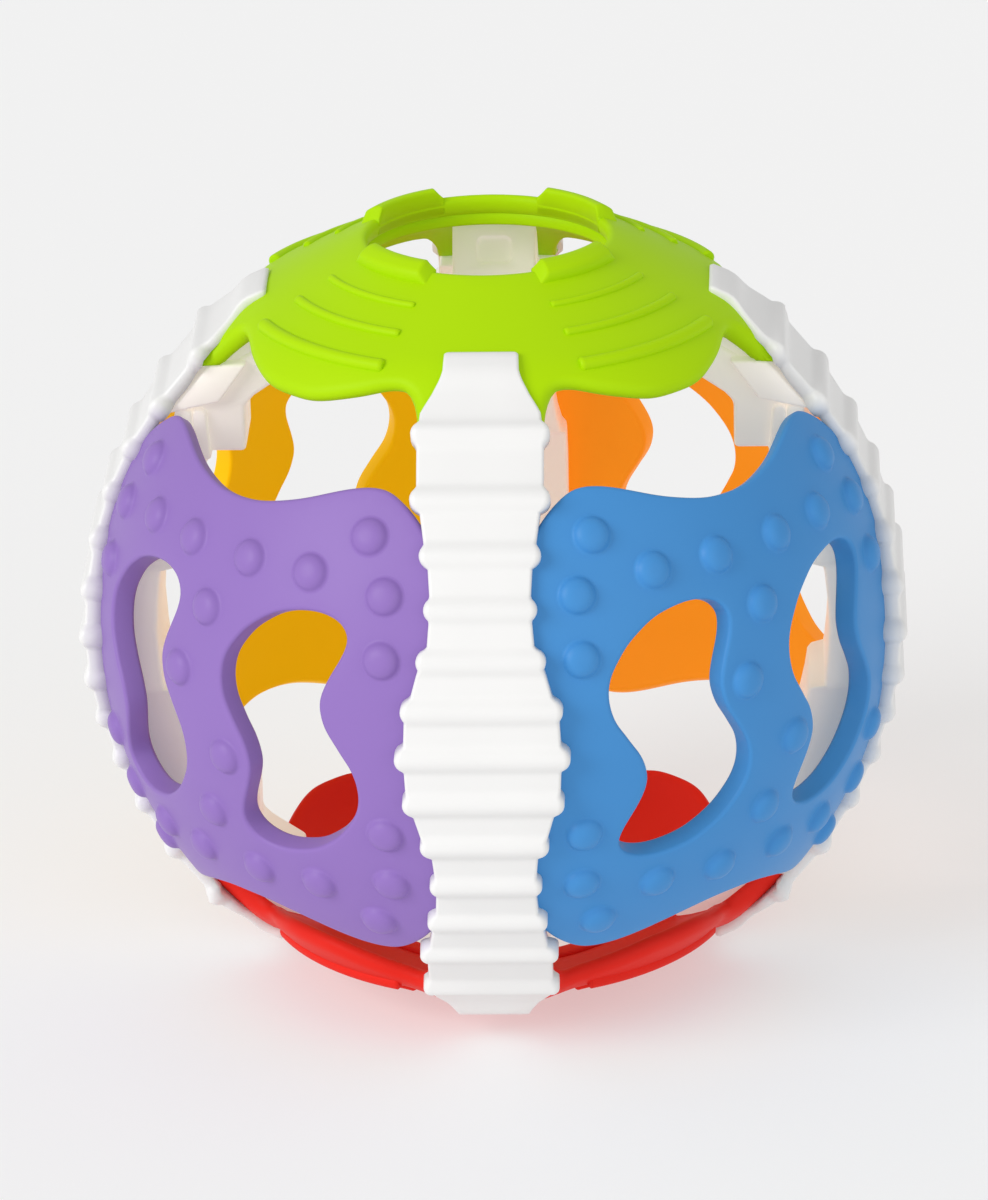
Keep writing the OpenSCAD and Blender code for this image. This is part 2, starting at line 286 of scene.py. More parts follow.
def moulded_wall(name, outline, holes, over, under, lip):
    """Closed wall over a flat outline with holes. over and under lift flat points to its two
    faces, and lip is the rounding of every edge."""
    loops = [facing(outline, True)] + [facing(h, False) for h in holes]
    spots, tri, where = flat_net(outline, [inset(loop, lip) for loop in loops])
    verts = [over(spots, 0.0), under(spots, 0.0)]
    faces = [tuple(t) for t in tri] + [tuple(t[::-1] + len(spots)) for t in tri]
    turns = [(1 - math.sin(a), 1 - math.cos(a)) for a in np.linspace(0, math.pi / 2, LIP_STEPS)]
    count, start = 2 * len(spots), 0
    for loop in loops:
        n = len(loop)
        top = [where[start + i] for i in range(n)]
        rings = [top]
        for way, part in ((over, turns[1:]), (under, turns[:0:-1])):
            for back, drop in part:
                verts.append(way(inset(loop, back * lip), drop * lip))
                rings.append(list(range(count, count + n)))
                count += n
        rings.append([t + len(spots) for t in top])
        for r0, r1 in zip(rings, rings[1:]):
            faces += [(r0[i], r1[i], r1[(i + 1) % n], r0[(i + 1) % n]) for i in range(n)]
        start += n
    return mesh_piece(name, np.vstack(verts), faces)


def between_rings(rings, m):
    """Faces between rings of m points each, numbered one ring after another."""
    return [(k * m + j, k * m + (j + 1) % m, (k + 1) * m + (j + 1) % m, (k + 1) * m + j)
            for k in range(rings - 1) for j in range(m)]


def end_faces(rings, m):
    return [tuple(range(m)), tuple(range((rings - 1) * m, rings * m))[::-1]]


def turned_profile(name, profile, a0=0.0, a1=360.0, steps=TURN_STEPS, height=None):
    """Closed profile of radius and height swept round the upright axis. height(share, r, z)
    may lower the ends of an arc."""
    p = np.asarray(profile, float)
    whole = a1 - a0 >= 360
    n = steps if whole else steps + 1
    verts, faces, m = [], [], len(p)
    for i in range(n):
        a = math.radians(a0 + (a1 - a0) * i / steps)
        z = p[:, 1] if height is None else height(i / steps, p[:, 0], p[:, 1])
        verts.append(np.stack([p[:, 0] * math.cos(a), p[:, 0] * math.sin(a), z], 1))
    for i in range(steps):
        for k in range(m):
            b, c = i * m, ((i + 1) % n) * m
            faces.append((b + k, c + k, c + (k + 1) % m, b + (k + 1) % m))
    if not whole:
        faces += end_faces(n, m)
    return mesh_piece(name, np.vstack(verts), faces)


# Geometry node trees

def new_tree(name, inputs):
    tree = bpy.data.node_groups.new(name, "GeometryNodeTree")
    tree.interface.new_socket("Geometry", in_out="INPUT", socket_type="NodeSocketGeometry")
    for label, kind, value in inputs:
        s = tree.interface.new_socket(label, in_out="INPUT", socket_type=kind)
        if value is not None:
            s.default_value = value
    tree.interface.new_socket("Geometry", in_out="OUTPUT", socket_type="NodeSocketGeometry")
    return tree, tree.nodes.new("NodeGroupInput"), tree.nodes.new("NodeGroupOutput")


def rounded_ribs_tree():
    """Turns every chain of edges into a rounded rib. Each point carries its own rib radius."""
    tree, gin, gout = new_tree("rounded ribs", [
        ("Fullness", "NodeSocketFloat", 1.0), ("Sides", "NodeSocketInt", 20),
        ("Finish", "NodeSocketMaterial", None)])
    n, link = tree.nodes, tree.links.new
    line = n.new("GeometryNodeMeshToCurve")
    radius = n.new("GeometryNodeInputNamedAttribute")
    radius.data_type = "FLOAT"
    radius.inputs["Name"].default_value = "rib_radius"
    full = n.new("ShaderNodeMath")
    full.operation = "MULTIPLY"
    setr = n.new("GeometryNodeSetCurveRadius")
    ring = n.new("GeometryNodeCurvePrimitiveCircle")
    ring.inputs["Radius"].default_value = 1.0
    tube = n.new("GeometryNodeCurveToMesh")
    tube.inputs["Fill Caps"].default_value = True
    weld = n.new("GeometryNodeMergeByDistance")
    weld.inputs["Distance"].default_value = 10 * WELD
    soft = n.new("GeometryNodeSetShadeSmooth")
    real = n.new("GeometryNodeRealizeInstances")
    skin = n.new("GeometryNodeSetMaterial")
    link(gin.outputs["Geometry"], line.inputs["Mesh"])
    link(radius.outputs["Attribute"], full.inputs[0])
    link(gin.outputs["Fullness"], full.inputs[1])
    link(line.outputs["Curve"], setr.inputs["Curve"])
    link(full.outputs[0], setr.inputs["Radius"])
    link(gin.outputs["Sides"], ring.inputs["Resolution"])
    link(setr.outputs["Curve"], tube.inputs["Curve"])
    link(ring.outputs["Curve"], tube.inputs["Profile Curve"])
    if "Scale" in tube.inputs:
        link(full.outputs[0], tube.inputs["Scale"])
    link(tube.outputs["Mesh"], weld.inputs["Geometry"])
    link(weld.outputs["Geometry"], soft.inputs["Geometry"])
    link(soft.outputs["Geometry"], real.inputs["Geometry"])
    link(real.outputs["Geometry"], skin.inputs["Geometry"])
    link(gin.outputs["Finish"], skin.inputs["Material"])
    link(skin.outputs["Geometry"], gout.inputs["Geometry"])
    return tree


def raised_dots_tree():
    """Seats a soft dot on every place of a panel, square to the panel's face."""
    tree, gin, gout = new_tree("raised dots", [
        ("Places", "NodeSocketObject", None), ("Dot", "NodeSocketObject", None),
        ("Dot size", "NodeSocketFloat", 1.0), ("Finish", "NodeSocketMaterial", None)])
    n, link = tree.nodes, tree.links.new
    places = n.new("GeometryNodeObjectInfo")
    dot = n.new("GeometryNodeObjectInfo")
    out = n.new("GeometryNodeInputNamedAttribute")
    out.data_type = "FLOAT_VECTOR"
    out.inputs["Name"].default_value = "outward"
    align = n.new("FunctionNodeAlignRotationToVector")
    align.axis = "Z"
    inst = n.new("GeometryNodeInstanceOnPoints")
    join = n.new("GeometryNodeJoinGeometry")
    real = n.new("GeometryNodeRealizeInstances")
    skin = n.new("GeometryNodeSetMaterial")
    link(gin.outputs["Places"], places.inputs["Object"])
    link(gin.outputs["Dot"], dot.inputs["Object"])
    link(out.outputs["Attribute"], align.inputs["Vector"])
    link(places.outputs["Geometry"], inst.inputs["Points"])
    link(dot.outputs["Geometry"], inst.inputs["Instance"])
    link(align.outputs["Rotation"], inst.inputs["Rotation"])
    link(gin.outputs["Dot size"], inst.inputs["Scale"])
    link(inst.outputs["Instances"], join.inputs["Geometry"])
    link(gin.outputs["Geometry"], join.inputs["Geometry"])
    link(join.outputs["Geometry"], real.inputs["Geometry"])
    link(real.outputs["Geometry"], skin.inputs["Geometry"])
    link(gin.outputs["Finish"], skin.inputs["Material"])
    link(skin.outputs["Geometry"], gout.inputs["Geometry"])
    return tree


def grown(piece, tree, values):
    """Runs a tree on a piece and keeps the result as a plain mesh."""
    mod = piece.modifiers.new("form", "NODES")
    mod.node_group = tree
    for item in tree.interface.items_tree:
        if item.item_type == "SOCKET" and item.in_out == "INPUT" and item.name in values:
            mod[item.identifier] = values[item.name]
    return baked(piece)


def ribs_from_lines(name, lines, finish, sides):
    """lines: list of (points in mm, radii in mm)."""
    verts, edges, radii = [], [], []
    for pts, rad in lines:
        k = len(verts)
        verts += [tuple(np.asarray(q) * MM) for q in pts]
        edges += [(k + i, k + i + 1) for i in range(len(pts) - 1)]
        radii += [r * MM for r in rad]
    me = bpy.data.meshes.new(name)
    me.from_pydata(verts, edges, [])
    att = me.attributes.new("rib_radius", "FLOAT", "POINT")
    att.data.foreach_set("value", radii)
    return grown(placed(name, me), RIBS, {"Fullness": 1.0, "Sides": sides, "Finish": finish})


RIBS = rounded_ribs_tree()
DOTS = raised_dots_tree()


# Materials

# Height of the relief of a moulded skin, in metres, and how much of it is grain
RELIEF_HEIGHT, GRAIN_SHARE = 0.0003, 0.3
COAT_ROUGHNESS = 0.2


def fine_moulding_group():
    """Faint unevenness of a moulded skin: colour shift, roughness and height."""
    g = bpy.data.node_groups.new("fine moulding", "ShaderNodeTree")
    sock = g.interface.new_socket
    sock("Colour", in_out="INPUT", socket_type="NodeSocketColor")
    for label, value in (("Grain size", 900.0), ("Blotch size", 60.0), ("Colour shift", 0.03),
                         ("Roughness", 0.45), ("Roughness shift", 0.06)):
        sock(label, in_out="INPUT", socket_type="NodeSocketFloat").default_value = value
    sock("Colour", in_out="OUTPUT", socket_type="NodeSocketColor")
    sock("Roughness", in_out="OUTPUT", socket_type="NodeSocketFloat")
    sock("Height", in_out="OUTPUT", socket_type="NodeSocketFloat")
    n, link = g.nodes, g.links.new
    gin, gout = n.new("NodeGroupInput"), n.new("NodeGroupOutput")
    coord = n.new("ShaderNodeTexCoord")
    blotch, grain = n.new("ShaderNodeTexNoise"), n.new("ShaderNodeTexNoise")
    blotch.inputs["Detail"].default_value = 3
    grain.inputs["Detail"].default_value = 2
    link(coord.outputs["Object"], blotch.inputs["Vector"])
    link(coord.outputs["Object"], grain.inputs["Vector"])
    link(gin.outputs["Blotch size"], blotch.inputs["Scale"])
    link(gin.outputs["Grain size"], grain.inputs["Scale"])

    def maths(op, a, b):
        m = n.new("ShaderNodeMath")
        m.operation = op
        for i, v in enumerate((a, b)):
            if isinstance(v, (int, float)):
                m.inputs[i].default_value = v
            else:
                link(v, m.inputs[i])
        return m.outputs[0]

    swing = maths("SUBTRACT", blotch.outputs[0], 0.5)
    value = maths("ADD", 1.0, maths("MULTIPLY", swing, gin.outputs["Colour shift"]))
    hsv = n.new("ShaderNodeHueSaturation")
    link(gin.outputs["Colour"], hsv.inputs["Color"])
    link(value, hsv.inputs["Value"])
    link(hsv.outputs["Color"], gout.inputs["Colour"])
    rough = maths("ADD", gin.outputs["Roughness"],
                  maths("MULTIPLY", swing, gin.outputs["Roughness shift"]))
    link(rough, gout.inputs["Roughness"])
    height = maths("ADD", maths("MULTIPLY", grain.outputs[0], GRAIN_SHARE), blotch.outputs[0])
    link(height, gout.inputs["Height"])
    return g


MOULDING = fine_moulding_group()


def plastic(name, colour, roughness, specular, relief=0.05, grain=900.0, coat=0.0, painted_glow=0.0):
    """The last argument is painted light: emission in the material's own colour, standing in for
    light that shines through a thin wall.
    """
    mat = bpy.data.materials.new(name)
    mat.use_nodes = True
    n, link = mat.node_tree.nodes, mat.node_tree.links.new
    shader = n["Principled BSDF"]
    skin = n.new("ShaderNodeGroup")
    skin.node_tree = MOULDING
    skin.inputs["Colour"].default_value = (*colour, 1)
    skin.inputs["Grain size"].default_value = grain
    skin.inputs["Roughness"].default_value = roughness
    bump = n.new("ShaderNodeBump")
    bump.inputs["Strength"].default_value = relief
    bump.inputs["Distance"].default_value = RELIEF_HEIGHT
    link(skin.outputs["Colour"], shader.inputs["Base Color"])
    link(skin.outputs["Roughness"], shader.inputs["Roughness"])
    link(skin.outputs["Height"], bump.inputs["Height"])
    link(bump.outputs["Normal"], shader.inputs["Normal"])
    shader.inputs["Coat Weight"].default_value = coat
    shader.inputs["Coat Roughness"].default_value = COAT_ROUGHNESS
    shader.inputs["Specular IOR Level"].default_value = specular
    # Painted light: an emission in the material's own colour stands in for light shining through
    # the wall
    shader.inputs["Emission Color"].default_value = (*colour, 1)
    shader.inputs["Emission Strength"].default_value = painted_glow
    return mat


# Roughness and shine of the soft plastics, and the painted glow of the two back panels
SATIN = {"roughness": 0.43, "specular": 0.2}
MATT = {"roughness": 0.5, "specular": 0.1}
BACK_PAINTED_GLOW = 0.36

# Painted light: the green and red domes get a faint painted glow and the orange and yellow back
# panels a strong one, emission standing in for light through their walls
GREEN = plastic("green soft plastic", (0.41, 0.69, 0.0), **MATT, painted_glow=0.02)
RED = plastic("red soft plastic", (0.76, 0.021, 0.012), **MATT, painted_glow=0.02)
PURPLE = plastic("purple soft plastic", (0.28, 0.165, 0.49), **SATIN)
BLUE = plastic("blue soft plastic", (0.058, 0.265, 0.61), **SATIN)
ORANGE = plastic("orange soft plastic", (0.84, 0.28, 0.012), **MATT, painted_glow=BACK_PAINTED_GLOW)
YELLOW = plastic("yellow soft plastic", (0.74, 0.415, 0.0), **MATT, painted_glow=BACK_PAINTED_GLOW)
WHITE = plastic("white glossy plastic", (0.82, 0.815, 0.805), 0.4, 0.4, relief=0.03,
                grain=500.0, coat=0.1)
# Painted light on the inner strips: the warm tint stands in for light bounced from the yellow
# and orange panels, and the painted glow lightens them in the shade inside the ball
INNER_WHITE = plastic("white plastic inside", (0.82, 0.77, 0.71), 0.4, 0.3, relief=0.03,
                      grain=500.0, painted_glow=0.3)


# Side panels, drawn toward -Y: s to the right, t up, d outward

# The round face has its centre behind that of the ball
PANEL_R = HALF_WIDTH - 0.2
PANEL_SHIFT = -2.6
PANEL_T, PANEL_LIP = 3.6, 0.6
# The wall gets thinner by EDGE_THIN toward the upper and lower edge, between these heights
EDGE_THIN, THIN_FROM, THIN_TO = 1.3, 21, 31
# From the middle of a strip to the edge of the panel, found by a number of tries
SIDE_GAP, SIDE_TRIES, FIRST_TRY = 3.0, 40, 40.0
SIDE_HEIGHTS = (27.5, 24, 19, 13, 6.5, 0)
# Right half of the upper edge
PANEL_TOP = [
    (0, 31.2), (4, 31.4), (8, 32.3), (12, 33.7), (16, 35.4), (20, 36.6), (23, 36.6), (26, 35.3),
    (28.8, 33.3), (31, 31.3), (33, 29.9), (34.6, 29.2)]
# How much fuller the upper and the lower edge are in the middle, fading between these places
TOP_EXTRA, LOW_EXTRA, FULL_TO, FULL_END = 0.9, 0.5, 4, 20
OUTLINE_STEP, HOLE_STEP = 0.7, 0.6
# Half of an S-shaped hole, and how far a hole's centre is from the panel's
HALF_HOLE = [
    (0, 19.1), (3.1, 19.5), (6.0, 19.1), (8.0, 18.0), (9.0, 16.3), (8.9, 14.6), (7.6, 11.2),
    (6.7, 9.0), (6.1, 6.1), (6.3, 4.6), (7.1, 2.3), (8.5, 0), (9.4, -1.5), (10.5, -3.4),
    (11.2, -5.7), (11.3, -8.2), (10.65, -10.65), (9.3, -12.85), (7.6, -14.9), (5.4, -16.7),
    (2.9, -18.2)]
HOLE_OFF = 15.7
# Dots of one quarter, and of one half where they go round the middle
DOT_PLACES = [(23.8, 30.5), (28.5, 22.8), (30, 13.8), (17, 24.7), (6.2, 24.7)]
MIDDLE_DOTS = [(0, 16.2), (-4.8, 5.8)]
# Radius and height of a dot from its foot to its crown, and its root in the wall
DOT_PROFILE = [
    (3.5, -0.05), (3.25, -0.015), (3.05, 0.02), (2.9, 0.08), (2.76, 0.2), (2.64, 0.38),
    (2.5, 0.58), (2.32, 0.78), (2.08, 0.97), (1.75, 1.15), (1.35, 1.28), (0.9, 1.36),
    (0.45, 1.39)]
DOT_H, DOT_SIDES = 1.4, 32
DOT_ROOT_R, DOT_ROOT = 3.4, 0.9
# How much higher the loose back panels sit in their middle, how much of it is lost per
# millimetre of height, and between which places it fades toward the bars
BACK_RISE, RISE_LOSS, RISE_TO, RISE_END = 2.7, 0.008, 24, 38


def panel_depth(s, t):
    return PANEL_SHIFT + np.sqrt(np.maximum(PANEL_R * PANEL_R - s * s - t * t, 0))


def panel_side(t):
    """Flat place of the panel's side edge, SIDE_GAP from the middle of the strip."""
    s = FIRST_TRY
    for _ in range(SIDE_TRIES):
        s = (s + float(panel_depth(s, t)) - SIDE_GAP * math.sqrt(2)) / 2
    return s


def panel_edge(extra):
    """Right half of a panel's upper or lower edge, fuller by extra in its middle."""
    return [(s, t + extra * (1 - float(eased(s, FULL_TO, FULL_END)))) for s, t in PANEL_TOP]


def panel_outline():
    side = [(panel_side(t), t) for t in SIDE_HEIGHTS]
    low = [(s, -t) for s, t in side[-2::-1] + panel_edge(LOW_EXTRA)[::-1]]
    right = panel_edge(TOP_EXTRA) + side + low
    left = [(-s, t) for s, t in right[-2:0:-1]]
    return smooth_loop(right + left, OUTLINE_STEP)


def risen(q, slack):
    """Flat points of a panel, which sits higher in its middle where it has slack."""
    lift = slack * (BACK_RISE - RISE_LOSS * q[:, 1])
    lift *= 1 - eased(np.abs(q[:, 0]), RISE_TO, RISE_END)
    return np.stack([q[:, 0], q[:, 1] + lift], 1)


def panel_lift(s, t, d):
    return np.stack([s, -d, t], 1)


def make_dot():
    """Soft dot that flows into the panel's round face."""
    ring = [(DOT_ROOT_R, -DOT_ROOT)]
    ring += [(r, z - r * r / (2 * PANEL_R)) for r, z in DOT_PROFILE]
    n, verts = DOT_SIDES, []
    for r, z in ring:
        verts += [(r * math.cos(2 * math.pi * i / n), r * math.sin(2 * math.pi * i / n), z)
                  for i in range(n)]
    faces = between_rings(len(ring), n)
    crown, last = len(verts), (len(ring) - 1) * n
    verts += [(0, 0, DOT_H), (0, 0, -DOT_ROOT)]
    faces += [(last + i, last + (i + 1) % n, crown) for i in range(n)]
    faces += [((i + 1) % n, i, crown + 1) for i in range(n)]
    return mesh_piece("dot", verts, faces)


def make_panel(slack):
    hole = smooth_loop(HALF_HOLE + [(-s, -t) for s, t in HALF_HOLE], HOLE_STEP)
    holes = [hole + [HOLE_OFF, 0], hole - [HOLE_OFF, 0]]

    def face(q, depth):
        """Point at a depth in the wall, square to the round face."""
        q = risen(q, slack)
        k = (PANEL_R - depth) / PANEL_R
        d = PANEL_SHIFT + (panel_depth(q[:, 0], q[:, 1]) - PANEL_SHIFT) * k
        return panel_lift(q[:, 0] * k, q[:, 1] * k, d)

    def back(q, drop):
        wall = PANEL_T - EDGE_THIN * eased(np.abs(q[:, 1]), THIN_FROM, THIN_TO)
        return face(q, wall - drop)
    return moulded_wall("panel", panel_outline(), holes, face, back, PANEL_LIP)


def dot_places(slack):
    flat = [(a * s, b * t) for s, t in DOT_PLACES for a in (-1, 1) for b in (-1, 1)]
    flat += [(a * s, a * t) for s, t in MIDDLE_DOTS for a in (-1, 1)]
    s, t = risen(np.array(flat), slack).T
    spots = panel_lift(s, t, panel_depth(s, t))
    out = spots - np.array([0, -PANEL_SHIFT, 0])
    me = bpy.data.meshes.new("dot places")
    me.from_pydata((spots * MM).tolist(), [], [])
    att = me.attributes.new("outward", "FLOAT_VECTOR", "POINT")
    att.data.foreach_set("vector", out.ravel())
    return placed("dot places", me)


def side_panels():
    """Two tight panels in front and two with some slack behind."""
    dot = make_dot()
    for slack, sides in ((0, (("front_left", -45, PURPLE), ("front_right", 45, BLUE))),
                         (1, (("back_right", 135, ORANGE), ("back_left", -135, YELLOW)))):
        shell, places = make_panel(slack), dot_places(slack)
        for name, turn, finish in sides:
            piece = turned_copy(shell, "soft_panel_" + name, Matrix())
            grown(piece, DOTS, {"Places": places, "Dot": dot, "Dot size": 1.0, "Finish": finish})
            piece.data.transform(about_z(turn))
            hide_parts("panel_" + name)
            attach(piece, "root")
        for o in (shell, places):
            bpy.data.objects.remove(o)
    bpy.data.objects.remove(dot)


# Domes, drawn as the top one

# Radius and height of the outer face, smoothed over FACE_SMOOTH and tabled at FACE_STEP
DOME_OUT = [(15, 61.9), (17.8, 60.4), (26, 56.4), (32, 53.3), (35, 51.7), (37.5, 49.9),
            (40, 47.4), (43.5, 43.5), (46, 40.7), (50, 36.2)]
FACE_SMOOTH, FACE_STEP = 2.2, 0.1
DOME_T, DOME_LIP = 2.9, 1.3
# Half of a lobe's edge, from a leg to the middle of the lobe, and the end of a leg
LOBE = [(9.35, 42.0), (9.4, 39.6), (9.98, 37.98), (11.3, 36.9), (13.2, 36.2), (17.1, 35.5),
        (21.7, 34.2), (25.4, 32.5), (29.3, 29.3)]
LEG_END = [(0, 44.3), (4.5, 44.3), (8.7, 44.3), (9.3, 43.7)]
LEG_END_Z = 42.6
# The wall is cut straight down up to the first radius and square to the face from the
# second, and likewise by distance from the middle of a leg
SQUARE_R, SQUARE_LEG = (19, 27), (8.5, 11.5)
# Round hole, and the collar below it
RIM_R, RIM_Z, HOLE_SIDES = 18.0, HALF_HEIGHT - 1.72, 180
COLLAR_R, COLLAR_OUT_R, COLLAR_LIP = 18.8, 21.3, 0.5
COLLAR_LOW, COLLAR_OUT_TOP, COLLAR_TOP = RIM_Z - 5.45, RIM_Z - 3.05, RIM_Z - 2.15
# Rim arcs: height, radii, angles, feet in the dome, roundings, the slope at their ends, and
# how they sink into the falling face of the dome
ARC_H, ARC_OUT_R, ARC_TOP_R, ARC_MID_R = 1.2, 21.2, 19.3, 19.5
ARC_START, ARC_END = 23, 67
ARC_FOOT, ARC_OUT_FOOT = RIM_Z - 2.75, RIM_Z - 3.15
ARC_ROUND = [0, 0, 0.8, 0.9, 0.7]
ARC_SLOPE, DOME_FALL, ARC_SINK, ARC_STEPS = 1.5, 0.5, 0.3, 60
# Curved ribs: radius of their line and of their section, angles, and how they end
DOME_RIBS = ((25.2, 0.62), (30.4, 0.78), (36.0, 1.15))
RIB_START, RIB_SPAN = 23.5, 43
RIB_SINK, RIB_TIP, RIB_TIP_LENGTH, RIB_PLACES, RIB_SIDES = 0.22, 0.72, 0.3, 24, 14
# How far the bottom dome gives at these radii, where the bars clamp it and where it is free
GIVE_AT = [18, 24, 30, 36, 42]
GIVE_CLAMPED = [5.4, 4.6, 2.2, 0.6, 0]
GIVE_FREE = [5.4, 5.0, 3.9, 3.5, 4.0]
CLAMPED_TO, FREE_FROM = 5, 14
# More of it at the back lobes and less at the front ones, which end at LOBE_REACH
BACK_MORE, LOBE_REACH, LEAN_R = 1.3, 40, (20, 30)
# Share of the give by which a lobe's end draws in
DRAW_IN, DRAW_R = 0.35, (32, 42)


def smooth_table(points):
    """Evenly spaced table of a smoothed line through the points."""
    p = np.array(points, float)
    x = np.arange(p[0, 0], p[-1, 0], FACE_STEP)
    pad = int(FACE_SMOOTH / FACE_STEP)
    z = np.interp(x, p[:, 0], p[:, 1])
    zz = np.concatenate([z[0] - (z[1] - z[0]) * np.arange(pad, 0, -1), z,
                         z[-1] + (z[-1] - z[-2]) * np.arange(1, pad + 1)])
    return x, np.convolve(zz, np.ones(pad) / pad, "same")[pad:-pad]


OUT_X, OUT_Z = smooth_table(DOME_OUT)
OUT_SLOPE = np.gradient(OUT_Z, OUT_X)


def from_bars(p):
    """Distance of points from the middle of the nearest bar, seen from above."""
    return np.minimum(np.abs(p[:, 0]), np.abs(p[:, 1]))


def dome_point(q, depth):
    """Point under the flat place q, at a depth in the wall: square to the face on the lobes,
    straight down at the round hole and at the legs."""
    r = np.maximum(np.hypot(q[:, 0], q[:, 1]), 0.01)
    slope = np.interp(r, OUT_X, OUT_SLOPE)
    up = 1 / np.sqrt(1 + slope * slope)
    square = eased(r, *SQUARE_R) * eased(from_bars(q), *SQUARE_LEG)
    pull = 1 + slope * up * depth * square / r
    z = np.interp(r, OUT_X, OUT_Z) - depth * (up * square + (1 - square) / up)
    return np.stack([q[:, 0] * pull, q[:, 1] * pull, np.maximum(z, LEG_END_Z)], 1)


def dome_outline():
    half = LEG_END + LOBE
    quarter = half + [(b, a) for a, b in half[-2:0:-1]]
    loop = []
    for i in range(4):
        a = -math.radians(90 * i)
        c, s = math.cos(a), math.sin(a)
        loop += [(x * c - y * s, x * s + y * c) for x, y in quarter]
    return smooth_loop(loop, OUTLINE_STEP)


def rim_arc(turn):
    top, start, end = RIM_Z + ARC_H, turn + ARC_START, turn + ARC_END
    profile = rounded_profile([
        (RIM_R, ARC_FOOT), (ARC_OUT_R, ARC_OUT_FOOT), (ARC_OUT_R, RIM_Z), (ARC_TOP_R, top),
        (RIM_R, top)], ARC_ROUND)

    def ends(share, r, z):
        """Lets the arc slope down into the dome's face at both ends."""
        d = min(share, 1 - share) * math.radians(end - start) * ARC_MID_R
        k = min(1, d / ARC_SLOPE)
        low = RIM_Z - (r - RIM_R) * DOME_FALL - ARC_SINK
        return np.where(z > low, low + (z - low) * k, z)
    return turned_profile("arc", profile, start, end, ARC_STEPS, ends)


def dome_ribs():
    """Three curved ribs on each lobe, which end a little thinner."""
    lines = []
    for radius, c in DOME_RIBS:
        z = float(np.interp(radius, OUT_X, OUT_Z)) - c * RIB_SINK
        length, tip = math.radians(RIB_SPAN) * radius, RIB_TIP_LENGTH
        t = np.concatenate([[0, 0.4 * tip, tip],
                            np.linspace(2 * tip, length - 2 * tip, RIB_PLACES),
                            [length - tip, length - 0.4 * tip, length]])
        r = c * (RIB_TIP + (1 - RIB_TIP) * np.minimum(1, np.minimum(t, length - t) / tip))
        for i in range(4):
            a = math.radians(90 * i + RIB_START) + t / radius
            lines.append((np.stack([radius * np.cos(a), radius * np.sin(a),
                                    np.full(len(t), z)], 1), r))
    return ribs_from_lines("dome ribs", lines, GREEN, RIB_SIDES)


def make_dome():
    a = np.linspace(0, 2 * math.pi, HOLE_SIDES, endpoint=False)
    hole = np.stack([RIM_R * np.cos(a), RIM_R * np.sin(a)], 1)
    wall = moulded_wall("dome", dome_outline(), [hole], dome_point,
                        lambda q, drop: dome_point(q, DOME_T - drop), DOME_LIP)
    collar = turned_profile("collar", rounded_profile([
        (COLLAR_R, COLLAR_LOW), (COLLAR_OUT_R, COLLAR_LOW), (COLLAR_OUT_R, COLLAR_OUT_TOP),
        (COLLAR_R, COLLAR_TOP)], [COLLAR_LIP, COLLAR_LIP, 0, 0]))
    arcs = [rim_arc(90 * i) for i in range(4)]
    return joined("dome", [wall, collar, dome_ribs()] + arcs)


def weighed_down(p):
    """The soft bottom dome gives under the ball: most at the rim, a little at the lobes, more
    at the back ones, and nothing where the bars clamp it."""
    r = np.hypot(p[:, 0], p[:, 1])
    free = eased(from_bars(p), CLAMPED_TO, FREE_FROM)
    clamped = np.interp(r, GIVE_AT, GIVE_CLAMPED)
    loose = np.interp(r, GIVE_AT, GIVE_FREE)
    loose += BACK_MORE * p[:, 1] / LOBE_REACH * eased(r, *LEAN_R)
    give = clamped + (loose - clamped) * free
    draw = 1 - DRAW_IN * give * eased(r, *DRAW_R) * free / np.maximum(r, 1)
    return np.stack([p[:, 0] * draw, p[:, 1] * draw, p[:, 2] - give], 1)


def domes():
    """The same dome at the top and, turned over and pressed in, at the bottom."""
    dome = make_dome()
    for name, finish in (("top", GREEN), ("bottom", RED)):
        piece = turned_copy(dome, "soft_dome_" + name, Matrix())
        if name == "bottom":
            reshaped(piece, weighed_down)
            piece.data.transform(UPSIDE)
            piece.data.flip_normals()
        dressed(piece, finish)
        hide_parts(name + "_dome")
        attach(piece, "root")
    bpy.data.objects.remove(dome)


# Outer ribbed strips, drawn toward -Y. An outer or inner point of a strip is its distance
# from the upright axis and its height.

# Round of the ribs' feet, and at the last rib, where the tail begins
STRIP_FACE_R, TAIL_FACE_R = HALF_WIDTH - 0.95, 62.2
# How deep the strip reaches below the round of the panels
SKIN_OVERLAP = 0.15
# Ribs from the middle to the end: angle in degrees and half width. RIB_R rounds their ends.
RIB_ANGLES = [0, 6.8, 13.7, 20.8, 28.2, 36.0, 45.2]
RIB_HALF = [12.9, 11.9, 9.5, 8.3, 8.9, 10.3, 10.2]
RIB_R, RIB_STEPS = 2.05, 21
# Section of a rib: distance along the strip and height above the plate
RIB_RISE = [(0, 0.85), (0.4, 0.82), (0.8, 0.73), (1.1, 0.62), (1.35, 0.49), (1.55, 0.37),
            (1.75, 0.25), (1.95, 0.14), (2.2, 0.05), (2.6, 0.0)]
# Height over the middle and half width of the plate
PLATE_HALF = [(0, 11.6), (6.9, 11.3), (7.4, 10.9), (14.4, 9.0), (14.9, 8.0), (21.7, 7.4),
              (22.1, 7.3), (29.0, 7.7), (29.4, 8.0), (36.1, 9.0), (36.6, 9.3), (44.1, 9.3),
              (46.8, 8.8), (48.4, 7.4), (50.6, 6.0), (51.6, 5.6), (54.0, 5.4)]
